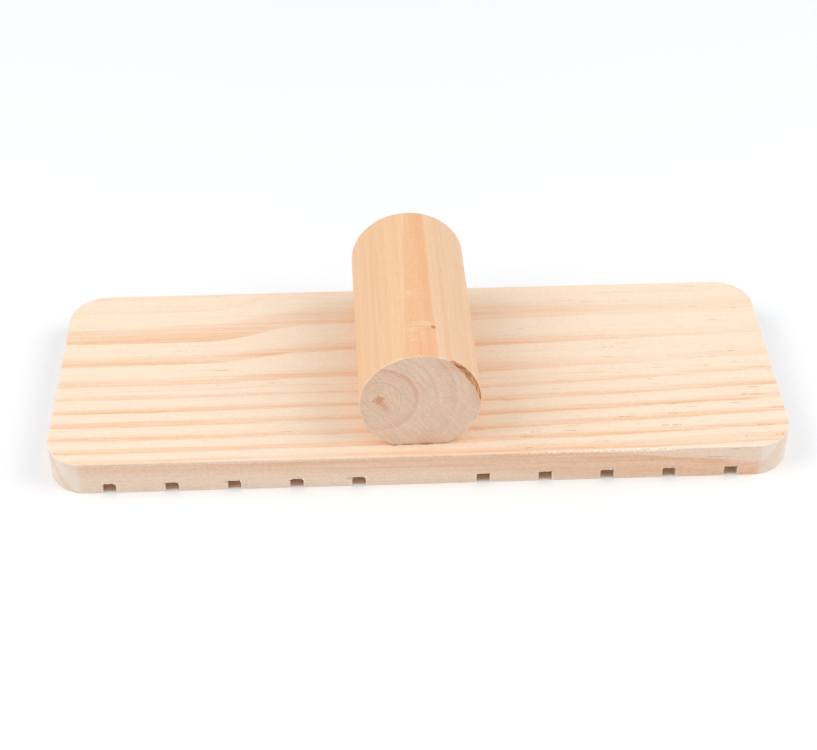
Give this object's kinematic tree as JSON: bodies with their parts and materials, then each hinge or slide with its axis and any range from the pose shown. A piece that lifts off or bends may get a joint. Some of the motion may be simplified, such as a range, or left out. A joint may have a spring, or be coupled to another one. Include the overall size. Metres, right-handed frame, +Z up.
{
  "type": "wood edge slicker",
  "caption": "Slotted pine board with a round grip glued and screwed across its top; leather edges are rubbed along the open slots underneath.",
  "frame": {"origin": "middle of the board's underside, on the surface it rests on", "axes": "+X along the length of the board, +Y across it from the front edge to the rear edge and along the slots and the grip, +Z up from the sole to the grip"},
  "size_m": [0.24, 0.087, 0.0488],
  "materials": {
    "board_pine": "bare sanded softwood, growth rings along its length",
    "grip_pine": "bare turned softwood, growth rings along its length, sawn ends",
    "dried_glue": "dried wood glue, dull amber",
    "zinc_screw": "zinc-plated steel, satin"
  },
  "bodies": {
    "root": {"board": "board_pine", "grip": "grip_pine", "glue_film": "dried_glue", "front_screw": "zinc_screw", "rear_screw": "zinc_screw"}
  },
  "joints": []
}
